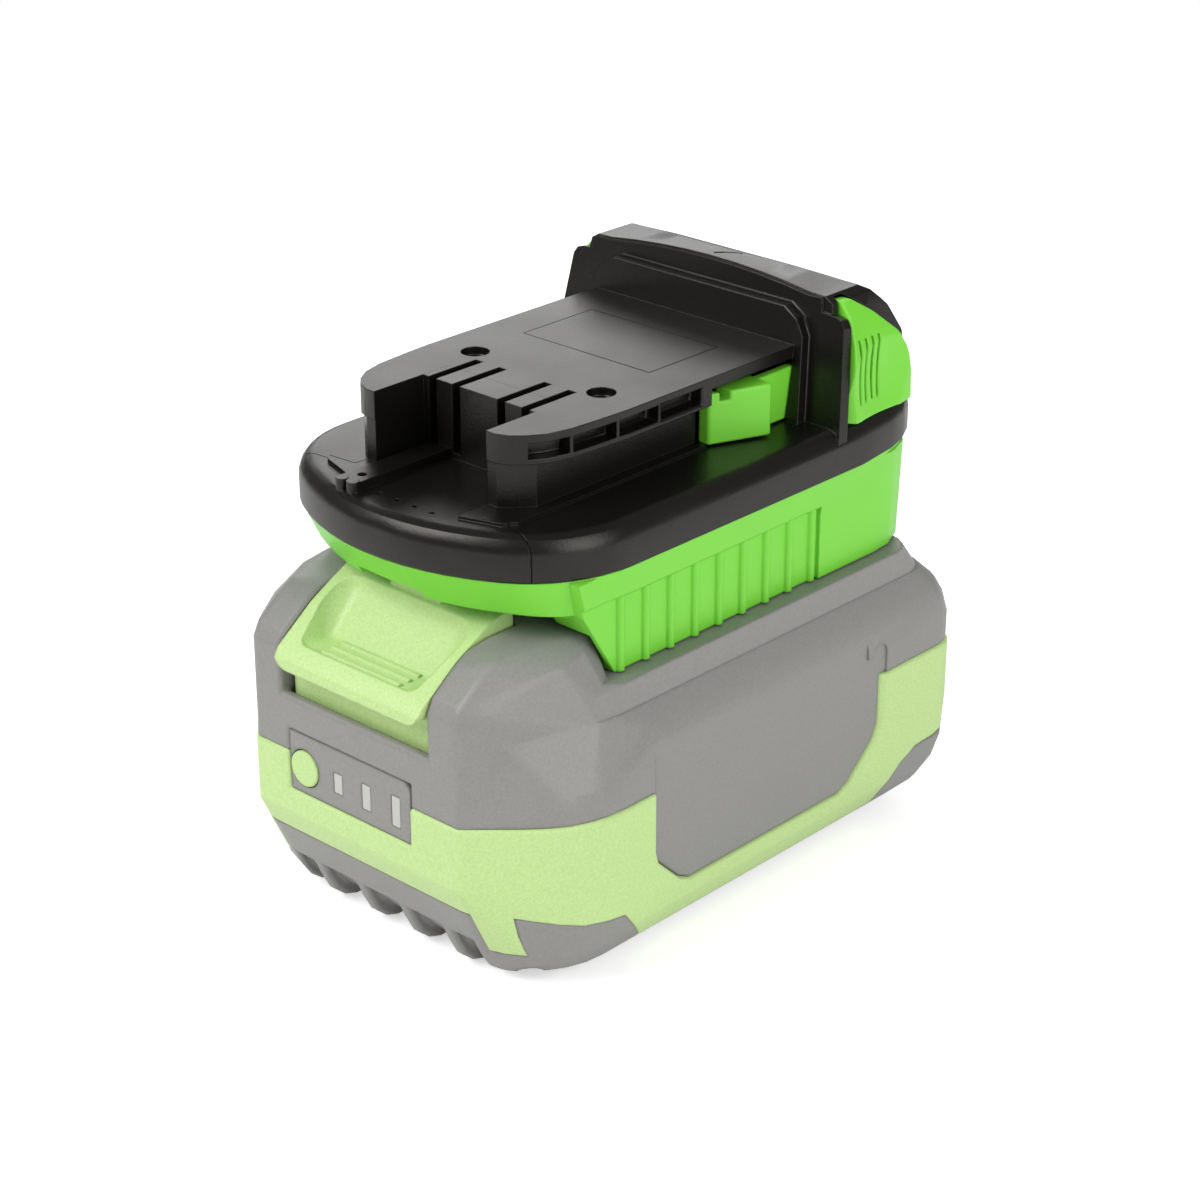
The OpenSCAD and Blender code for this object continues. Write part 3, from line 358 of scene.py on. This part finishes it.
def seam_mask(tree, width):
    """One on the cover's parting lines and round its label field, nought elsewhere."""
    (left, front), (right, rear) = LABEL
    corners = [(left, front), (right, front), (right, rear), (left, rear)]
    stretches = list(SEAMS) + list(zip(corners, corners[1:] + corners[:1]))
    place = tree.nodes.new("ShaderNodeTexCoord").outputs["Object"]
    flat = vector_math(tree, "MULTIPLY", place, (1, 1, 0)).outputs["Vector"]
    gaps = [plan_gap(tree, flat, plan_point(a), plan_point(b)) for a, b in stretches]
    nearest = gaps[0]
    for gap in gaps[1:]:
        least = tree.nodes.new("ShaderNodeMath")
        least.operation = "MINIMUM"
        tree.links.new(nearest, least.inputs[0])
        tree.links.new(gap, least.inputs[1])
        nearest = least.outputs["Value"]
    mask = tree.nodes.new("ShaderNodeMapRange")
    mask.inputs["From Min"].default_value = SEAM_SLOPE[0] * width
    mask.inputs["From Max"].default_value = SEAM_SLOPE[1] * width
    mask.inputs["To Min"].default_value = 1
    mask.inputs["To Max"].default_value = 0
    tree.links.new(nearest, mask.inputs["Value"])
    return mask.outputs["Result"]


def cover_plastic(name):
    """The black plastic of the cover with its parting lines."""
    make = grained(lambda: colours().cover, roughness=0.32, softness=0.5)
    material = make(name)
    tree = material.node_tree
    shader = tree.nodes["Principled BSDF"]
    mask = seam_mask(tree, sizes().seam)
    shine = tree.nodes.new("ShaderNodeMapRange")
    shine.inputs["To Min"].default_value = COVER_SHINE
    shine.inputs["To Max"].default_value = SEAM_SHINE
    tree.links.new(mask, shine.inputs["Value"])
    tree.links.new(shine.outputs["Result"], shader.inputs["Specular IOR Level"])
    groove = tree.nodes.new("ShaderNodeBump")
    groove.invert = True
    groove.inputs["Distance"].default_value = SEAM_DEPTH * sizes().seam
    under = shader.inputs["Normal"].links[0].from_socket
    tree.links.new(under, groove.inputs["Normal"])
    tree.links.new(mask, groove.inputs["Height"])
    tree.links.new(groove.outputs["Normal"], shader.inputs["Normal"])
    return material


MAKERS = {
    "grey_housing": grained(lambda: colours().housing, roughness=0.4, softness=1.8),
    "pale_green": grained(lambda: colours().band, roughness=0.42, softness=1.3),
    "bright_green": smooth(lambda: colours().adapter, roughness=0.36),
    "black_cover": cover_plastic,
    "clear_white": smooth(lambda: colours().light, roughness=0.2, softness=0.3),
    "board": smooth(lambda: from_photo(28, 92, 52), roughness=0.3, softness=0.2),
    "cell_sleeve": smooth(lambda: from_photo(42, 104, 150), roughness=0.25),
    "dark_plastic": smooth(lambda: from_photo(26, 26, 25), roughness=0.5, softness=0.3),
    "steel": metal(from_photo(184, 184, 180), roughness=0.3),
    "nickel": metal(from_photo(190, 188, 180), roughness=0.25),
    "contact_brass": metal(from_photo(204, 158, 82), roughness=0.28),
    "components": smooth(lambda: from_photo(60, 60, 64), roughness=0.4, softness=0.3),
}
FINISHES = {}


def finish(name):
    """The finish of that name, made once."""
    if name not in FINISHES:
        FINISHES[name] = MAKERS[name](name)
    return FINISHES[name]


# Pieces

# Points of a CAD node that lie this close are one, and edges this short are none
MERGED = 0.002 * MM
SHORTEST = 0.001 * MM
# Triangles that meet at less than this make one flat face
FLAT = math.radians(0.5)
# Edges that turn by at least this are rounded
SHARP = math.radians(30)
# Faces that meet at less than this are shaded as one surface
CREASE = math.radians(24)
# The cosine above which two stretches that touch run on in line
ONWARD = 0.8
# The share of the room beside an edge that its rounding may take
ROOM_SHARE = 0.45
# A rounding is at most this many times as wide as those it touches, in so many passes
WIDENING = 1.5
PASSES = 6
# A rounding is tried against the CAD surface and drawn back at most this often
TRIALS = 8
# Triangles smaller than this aren't tried
TRIED_AREA = 0.005 * MM * MM
# How far a tried triangle may lie off, as a share of the width, and how far it may turn
STRAY_SHARE = 0.5
STRAY_COSINE = -0.1
# Edges within this share of the width are drawn back, and left sharp below this width
BACK_SHARE = 1.2
NARROWEST = 0.06 * MM


def slot_of(node):
    """The record's material slot of a CAD node."""
    entries = frame["record"]["subparts"]
    return next(entry["material_slot"] for entry in entries if entry["node"] == node)


def body_of(node):
    """The CAD body that a node belongs to."""
    bodies = frame["record"]["behaviour"]["bodies"]
    return next(body for body, members in bodies.items() if node in members)


def smooth_faces(mesh):
    """Shades a mesh smooth with its sharp edges kept, by its own shape alone."""
    imported = mesh.attributes.get("custom_normal")
    if imported:
        mesh.attributes.remove(imported)
    mesh.shade_smooth()
    mesh.set_sharp_from_angle(angle=CREASE)


def piece_from(bm, name, body, slot):
    """Turns a bmesh into a piece that rides on a body and takes a slot's finish."""
    mesh = bpy.data.meshes.new(name)
    bm.to_mesh(mesh)
    bm.free()
    smooth_faces(mesh)
    piece = bpy.data.objects.new(name, mesh)
    bpy.context.scene.collection.objects.link(piece)
    mesh.materials.append(finish(slot))
    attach(piece, body)
    return piece


def merged_copy(node):
    """A bmesh of a CAD node with its loose triangles merged."""
    bm = bmesh.new()
    bm.from_mesh(frame["nodes"][node].data)
    bmesh.ops.remove_doubles(bm, verts=bm.verts, dist=MERGED)
    return bm


def nearest_on(point, start, end):
    """The point of a stretch that lies nearest to a point."""
    run = end - start
    if run.length_squared == 0:
        return start
    share = (point - start).dot(run) / run.length_squared
    return start + run * max(0, min(1, share))


def room_beside(face, edge):
    """How far a face reaches from one of its edges before it meets another edge."""
    start, end = (vert.co for vert in edge.verts)
    along = (end - start).normalized()
    room = math.inf
    for other in face.edges:
        if other is edge:
            continue
        first, last = (vert.co for vert in other.verts)
        other_along = (last - first).normalized()
        if set(other.verts) & set(edge.verts):
            if abs(along.dot(other_along)) < ONWARD:
                room = min(room, other.calc_length())
            continue
        gaps = (
            nearest_on(start, first, last) - start,
            nearest_on(end, first, last) - end,
            first - nearest_on(first, start, end),
            last - nearest_on(last, start, end),
        )
        for gap in gaps:
            reach = ONWARD * gap.length
            in_line = abs(gap.dot(along)) > reach and abs(gap.dot(other_along)) > reach
            if gap.length > 0 and not in_line:
                room = min(room, gap.length)
    return room


def share_out_rounding(bm, width):
    """Gives each sharp edge the share of a rounding that it has room for."""
    layer = bm.edges.layers.float.new("bevel_weight_edge")
    sharp = []
    for edge in bm.edges:
        if len(edge.link_faces) == 2 and edge.calc_face_angle(0) >= SHARP:
            room = min(room_beside(face, edge) for face in edge.link_faces)
            edge[layer] = min(1, ROOM_SHARE * room / width)
            sharp.append(edge)
    for _ in range(PASSES):
        for edge in sharp:
            beside = (near for vert in edge.verts for near in vert.link_edges)
            least = min(near[layer] for near in beside if near[layer] > 0)
            edge[layer] = min(edge[layer], WIDENING * least)


def keep_flats(piece):
    """Shades a piece's flat faces flat beside its curved ones."""
    flats = piece.modifiers.new("flats", "WEIGHTED_NORMAL")
    flats.keep_sharp = True


def rounded(piece, width):
    """Rounds a piece's edges by their shares."""
    bevel = piece.modifiers.new("rounding", "BEVEL")
    bevel.limit_method = "WEIGHT"
    bevel.width = width
    bevel.segments = 2
    bevel.use_clamp_overlap = False
    bevel.loop_slide = False
    bevel.harden_normals = True


def strayed_points(piece, surface, width):
    """Corners of a finished piece's triangles that left or turned from a surface."""
    shown = piece.evaluated_get(bpy.context.evaluated_depsgraph_get())
    mesh = shown.to_mesh()
    mesh.calc_loop_triangles()
    points = []
    for triangle in mesh.loop_triangles:
        if triangle.area < TRIED_AREA:
            continue
        _, normal, _, distance = surface.find_nearest(triangle.center)
        turned = triangle.normal.dot(normal) < STRAY_COSINE
        if turned or distance > STRAY_SHARE * width:
            points += [mesh.vertices[corner].co.copy() for corner in triangle.vertices]
    shown.to_mesh_clear()
    return points


def draw_back(bm, points, width):
    """Halves the rounding shares next to some points."""
    layer = bm.edges.layers.float["bevel_weight_edge"]
    near = KDTree(len(points))
    for number, point in enumerate(points):
        near.insert(point, number)
    near.balance()
    for edge in [edge for edge in bm.edges if edge[layer]]:
        gap = min(near.find(vert.co)[2] for vert in edge.verts)
        if gap < BACK_SHARE * width:
            edge[layer] = edge[layer] / 2 if edge[layer] * width > NARROWEST else 0


def round_off(piece, bm, surface, width):
    """Rounds a piece's edges and draws back what strays from the CAD surface."""
    rounded(piece, width)
    for _ in range(TRIALS):
        points = strayed_points(piece, surface, width)
        if not points:
            break
        draw_back(bm, points, width)
        bm.to_mesh(piece.data)
        smooth_faces(piece.data)


def moulding(node, size=1):
    """A copy of a CAD node that stands for the node, with rounded edges unless size is 0."""
    width = size * sizes().rounding
    bm = merged_copy(node)
    bmesh.ops.dissolve_degenerate(bm, dist=SHORTEST, edges=bm.edges)
    bmesh.ops.dissolve_limit(bm, angle_limit=FLAT, verts=bm.verts, edges=bm.edges)
    surface = BVHTree.FromBMesh(bm)
    if size:
        share_out_rounding(bm, width)
    bmesh.ops.triangulate(
        bm, faces=bm.faces, quad_method="BEAUTY", ngon_method="BEAUTY"
    )
    piece = piece_from(bm.copy(), node + "_moulding", body_of(node), slot_of(node))
    if size:
        round_off(piece, bm, surface, width)
    keep_flats(piece)
    bm.free()
    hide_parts(node)


def finished_node(node):
    """Gives a CAD node the finish of its slot and leaves its shape."""
    shown = frame["nodes"][node]
    shown.data.materials.clear()
    shown.data.materials.append(finish(slot_of(node)))


def pressed_spring(node):
    """A copy of a spring that stands for the node, as short as its button can press it."""
    joints = frame["record"]["behaviour"]["joints"]
    travel, rule = next(
        (joint["range_m"][1], rule)
        for joint in joints
        for rule in joint.get("deforming_nodes", ())
        if rule["node"] == node
    )
    letter = rule["mode"][-1]
    axis = "xyz".index(letter)
    fixed = rule[f"fixed_end_{letter}_m"]
    length = max(abs(corner[axis] - fixed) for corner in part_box(node))
    bm = merged_copy(node)
    for vert in bm.verts:
        vert.co[axis] = fixed + (vert.co[axis] - fixed) * (1 - travel / length)
    piece = piece_from(bm, node + "_pressed", body_of(node), slot_of(node))
    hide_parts(node)


# The outer upper corner of a web, off the middle, behind the front and above the floor
WEB_ACROSS = 33 * MM
WEB_DEPTH = 107.8 * MM
WEB_HEIGHT = 51 * MM
WEB_SIZE = 4.5 * MM
# How far from that corner its slope cuts the web's three edges
WEB_CUTS = Vector((1.35, 0.8, 0.98)) * MM


def corner_webs():
    """Two webs that fill the inner rear corners of the upper shell, its thinnest places."""
    bm = bmesh.new()
    for side in (-1, 1):
        outward = Vector((side, 1, 1))
        corner = Vector((side * WEB_ACROSS, FRONT + WEB_DEPTH, WEB_HEIGHT))
        web = bmesh.ops.create_cube(bm, size=WEB_SIZE)["verts"]
        bmesh.ops.translate(bm, verts=web, vec=corner - outward * WEB_SIZE / 2)
        bmesh.ops.bisect_plane(
            bm,
            geom=[*bm.verts, *bm.edges, *bm.faces],
            plane_co=corner - Vector((side * WEB_CUTS.x, 0, 0)),
            plane_no=[sign / cut for sign, cut in zip(outward, WEB_CUTS)],
            clear_outer=True,
        )
    bmesh.ops.holes_fill(bm, edges=bm.edges)
    bmesh.ops.recalc_face_normals(bm, faces=bm.faces)
    piece_from(bm, "corner_webs", "battery", "grey_housing")


# Operators


class BATTERY_OT_housing(Operator):
    """The two grey shells of the battery and the webs in their rear corners."""

    bl_idname = "battery.housing"
    bl_label = "Battery housing"

    def execute(self, context):
        for node in ("lower_shell", "upper_shell"):
            moulding(node)
        corner_webs()
        finished_node("housing_screws")
        return {"FINISHED"}


class BATTERY_OT_band(Operator):
    """The pale green band round the battery."""

    bl_idname = "battery.band"
    bl_label = "Side band"

    def execute(self, context):
        moulding("side_band")
        return {"FINISHED"}


class BATTERY_OT_latch(Operator):
    """The battery latch and its springs."""

    bl_idname = "battery.latch"
    bl_label = "Battery latch"

    def execute(self, context):
        moulding("battery_latch")
        pressed_spring("latch_springs")
        return {"FINISHED"}


class BATTERY_OT_gauge(Operator):
    """The charge gauge with its button and lights."""

    bl_idname = "battery.gauge"
    bl_label = "Charge gauge"

    def execute(self, context):
        moulding("gauge_panel", size=0)
        for node in ("gauge_button", "gauge_light_pipes"):
            moulding(node, size=0.3)
        for node in ("gauge_dome", "gauge_board"):
            finished_node(node)
        return {"FINISHED"}


class BATTERY_OT_cells(Operator):
    """The cells with their holders and nickel strips."""

    bl_idname = "battery.cells"
    bl_label = "Cells"

    def execute(self, context):
        for node in (
            "cells_lower_row",
            "cells_upper_row",
            "cell_holder_left",
            "cell_holder_right",
            "nickel_strips_left",
            "nickel_strips_right",
        ):
            finished_node(node)
        return {"FINISHED"}


class BATTERY_OT_battery_electrics(Operator):
    """The battery's board with its terminals and their block."""

    bl_idname = "battery.battery_electrics"
    bl_label = "Battery electrics"

    def execute(self, context):
        for node in ("battery_board", "terminal_block", "battery_terminals"):
            finished_node(node)
        return {"FINISHED"}


class BATTERY_OT_adapter_base(Operator):
    """The green base of the adapter."""

    bl_idname = "battery.adapter_base"
    bl_label = "Adapter base"

    def execute(self, context):
        moulding("adapter_base")
        finished_node("adapter_screws")
        return {"FINISHED"}


class BATTERY_OT_adapter_cover(Operator):
    """The black cover of the adapter."""

    bl_idname = "battery.adapter_cover"
    bl_label = "Adapter cover"

    def execute(self, context):
        moulding("adapter_cover", size=0.7)
        return {"FINISHED"}


class BATTERY_OT_side_buttons(Operator):
    """The two green side buttons with their hooks and springs."""

    bl_idname = "battery.side_buttons"
    bl_label = "Side buttons"

    def execute(self, context):
        for node in ("adapter_latch_left", "adapter_latch_right"):
            moulding(node, size=0.6)
        for node in ("adapter_spring_left", "adapter_spring_right"):
            pressed_spring(node)
        return {"FINISHED"}


class BATTERY_OT_adapter_electrics(Operator):
    """The adapter's board with its parts, blades and contacts."""

    bl_idname = "battery.adapter_electrics"
    bl_label = "Adapter electrics"

    def execute(self, context):
        for node in (
            "adapter_board",
            "adapter_components",
            "adapter_blades",
            "tool_contacts",
        ):
            finished_node(node)
        return {"FINISHED"}


# The camera stands where the photo was taken from
CAMERA_PLACE = Vector((314.06, -334.72, 257.29)) * MM
CAMERA_ELEVATION = math.radians(24.596)
CAMERA_AZIMUTH = math.radians(42.906)
CAMERA_LENS = 84.91
CAMERA_SENSOR = 36
# The soft boxes with their places, widths, heights and powers, and what they point at
SOFT_BOXES = (
    ("key", Vector((-0.35, -0.75, 0.85)), 0.7, 0.7, 10.5),
    ("right", Vector((0.95, -0.05, 0.45)), 0.6, 0.9, 5.8),
    ("back", Vector((-0.8, 0.8, 0.5)), 0.87, 0.64, 3.5),
)
CENTRE = Vector((0, 0, 0.05))
FLOOR_REACH = 0.45
PAPER = (0.82, 0.82, 0.82, 1)


def soft_box(name, place, width, height, power):
    """A rectangular studio lamp that points at the object."""
    lamp = bpy.data.lights.new(name, "AREA")
    lamp.shape = "RECTANGLE"
    lamp.size = width
    lamp.size_y = height
    lamp.energy = power
    box = bpy.data.objects.new(name, lamp)
    bpy.context.scene.collection.objects.link(box)
    box.location = place
    box.rotation_euler = (CENTRE - place).to_track_quat("-Z", "Y").to_euler()


def background_rays(tree, others, gloss, seen):
    """One strength for rays that are seen or pass glass, one off gloss, one for others."""
    path = tree.nodes.new("ShaderNodeLightPath")
    clear = tree.nodes.new("ShaderNodeMath")
    clear.operation = "MAXIMUM"
    tree.links.new(path.outputs["Is Camera Ray"], clear.inputs[0])
    tree.links.new(path.outputs["Is Transmission Ray"], clear.inputs[1])
    dim = tree.nodes.new("ShaderNodeMapRange")
    dim.inputs["To Min"].default_value = others
    dim.inputs["To Max"].default_value = gloss
    tree.links.new(path.outputs["Is Glossy Ray"], dim.inputs["Value"])
    strength = tree.nodes.new("ShaderNodeMapRange")
    strength.inputs["To Max"].default_value = seen
    tree.links.new(dim.outputs["Result"], strength.inputs["To Min"])
    tree.links.new(clear.outputs["Value"], strength.inputs["Value"])
    return strength.outputs["Result"]


def photo_camera(scene):
    """The camera at the photo's view."""
    camera = bpy.data.objects.new("camera", bpy.data.cameras.new("camera"))
    scene.collection.objects.link(camera)
    camera.data.lens = CAMERA_LENS
    camera.data.sensor_width = CAMERA_SENSOR
    camera.location = CAMERA_PLACE
    camera.rotation_euler = (math.pi / 2 - CAMERA_ELEVATION, 0, CAMERA_AZIMUTH)
    scene.camera = camera


def paper_floor(scene):
    """A white paper floor that glows a little, so that it meets the white background."""
    bm = bmesh.new()
    bmesh.ops.create_grid(bm, x_segments=1, y_segments=1, size=FLOOR_REACH)
    mesh = bpy.data.meshes.new("floor")
    bm.to_mesh(mesh)
    bm.free()
    floor = bpy.data.objects.new("floor", mesh)
    scene.collection.objects.link(floor)
    material = bpy.data.materials.new("floor")
    material.use_nodes = True
    tree = material.node_tree
    tree.nodes.clear()
    out = tree.nodes.new("ShaderNodeOutputMaterial")
    paper = tree.nodes.new("ShaderNodeBsdfDiffuse")
    paper.inputs["Color"].default_value = PAPER
    glow = tree.nodes.new("ShaderNodeEmission")
    both = tree.nodes.new("ShaderNodeAddShader")
    strength = background_rays(tree, others=0.15, gloss=0.1, seen=0.5)
    tree.links.new(strength, glow.inputs["Strength"])
    tree.links.new(paper.outputs["BSDF"], both.inputs[0])
    tree.links.new(glow.outputs["Emission"], both.inputs[1])
    tree.links.new(both.outputs["Shader"], out.inputs["Surface"])
    mesh.materials.append(material)


def studio_air(scene):
    """A white background that lights the object softly."""
    world = bpy.data.worlds.new("studio")
    scene.world = world
    world.use_nodes = True
    tree = world.node_tree
    air = tree.nodes["Background"]
    air.inputs["Color"].default_value = (1, 1, 1, 1)
    strength = background_rays(tree, others=0.5, gloss=0.18, seen=1.0)
    tree.links.new(strength, air.inputs["Strength"])


class BATTERY_OT_stage(Operator):
    """Camera, lamps, floor and a white background."""

    bl_idname = "battery.stage"
    bl_label = "Stage"

    def execute(self, context):
        photo_camera(context.scene)
        paper_floor(context.scene)
        studio_air(context.scene)
        for box in SOFT_BOXES:
            soft_box(*box)
        context.scene.view_settings.view_transform = "Standard"
        return {"FINISHED"}


OPERATORS = (
    BATTERY_OT_housing,
    BATTERY_OT_band,
    BATTERY_OT_latch,
    BATTERY_OT_gauge,
    BATTERY_OT_cells,
    BATTERY_OT_battery_electrics,
    BATTERY_OT_adapter_base,
    BATTERY_OT_adapter_cover,
    BATTERY_OT_side_buttons,
    BATTERY_OT_adapter_electrics,
    BATTERY_OT_stage,
)


class BATTERY_PT_sidebar(Panel):
    """Lists the pieces and their sizes and colours."""

    bl_label = "Tool battery"
    bl_space_type = "VIEW_3D"
    bl_region_type = "UI"
    bl_category = "Tool battery"

    def draw(self, context):
        layout = self.layout
        for group in (colours(), sizes()):
            for name in group.__annotations__:
                layout.prop(group, name)
        for operator in OPERATORS:
            layout.operator(operator.bl_idname)


CLASSES = (BatteryColours, BatterySizes, *OPERATORS, BATTERY_PT_sidebar)


def register():
    for cls in CLASSES:
        bpy.utils.register_class(cls)
    bpy.types.Scene.battery_colours = PointerProperty(type=BatteryColours)
    bpy.types.Scene.battery_sizes = PointerProperty(type=BatterySizes)


def unregister():
    del bpy.types.Scene.battery_sizes
    del bpy.types.Scene.battery_colours
    for cls in reversed(CLASSES):
        bpy.utils.unregister_class(cls)


def main():
    register()
    bpy.ops.battery.housing()
    bpy.ops.battery.band()
    bpy.ops.battery.latch()
    bpy.ops.battery.gauge()
    bpy.ops.battery.cells()
    bpy.ops.battery.battery_electrics()
    bpy.ops.battery.adapter_base()
    bpy.ops.battery.adapter_cover()
    bpy.ops.battery.side_buttons()
    bpy.ops.battery.adapter_electrics()
    bpy.ops.battery.stage()


if __name__ == "__main__":
    main()
